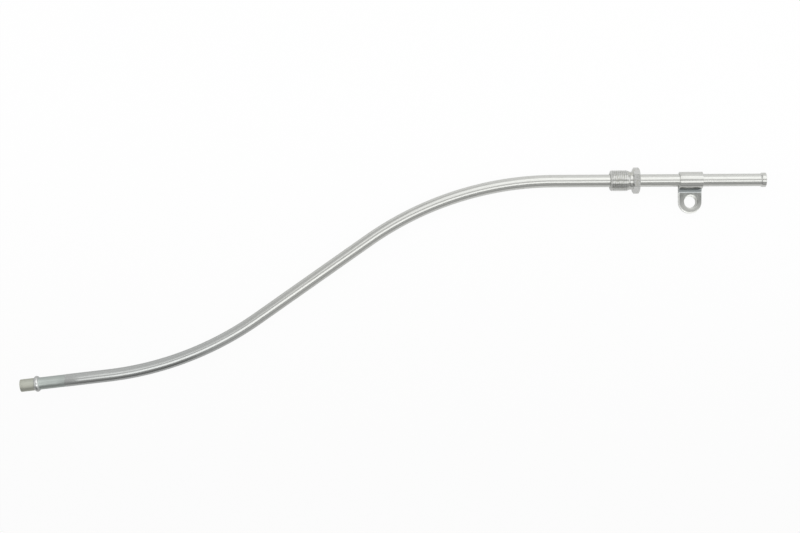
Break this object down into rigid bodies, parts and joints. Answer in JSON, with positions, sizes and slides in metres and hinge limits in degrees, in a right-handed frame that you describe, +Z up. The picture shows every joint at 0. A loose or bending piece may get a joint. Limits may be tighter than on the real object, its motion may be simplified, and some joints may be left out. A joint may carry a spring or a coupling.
{
  "type": "engine oil dipstick tube",
  "caption": "Bent steel guide tube for an engine oil dipstick, with a swaged mouth, a rolled bead at the lower end, a loose threaded tube nut and a folded strap clamp.",
  "frame": {"origin": "under the middle of the whole part, on the surface that it lies on", "axes": "+X along the upper straight run, out of the mouth; +Y away from the clamp's tab; +Z up from the surface"},
  "size_m": [0.5696, 0.1682, 0.0175],
  "materials": {
    "zinc_tube": "bright zinc plate with fine drawn lines, duller at the lower end",
    "turned_nut": "turned and zinc plated, bright",
    "zinc_strap": "zinc plated strip with a faint blue tint"
  },
  "bodies": {
    "tube_body": {"tube": "zinc_tube", "clamp": "zinc_strap"},
    "nut": {"tube_nut": "turned_nut"}
  },
  "joints": [
    {"name": "nut_turn", "type": "hinge", "parent": "tube_body", "child": "nut", "pos_m": [0.17731, 0.07403, 0.00873], "axis": [1, 0, 0], "continuous": true}
  ]
}
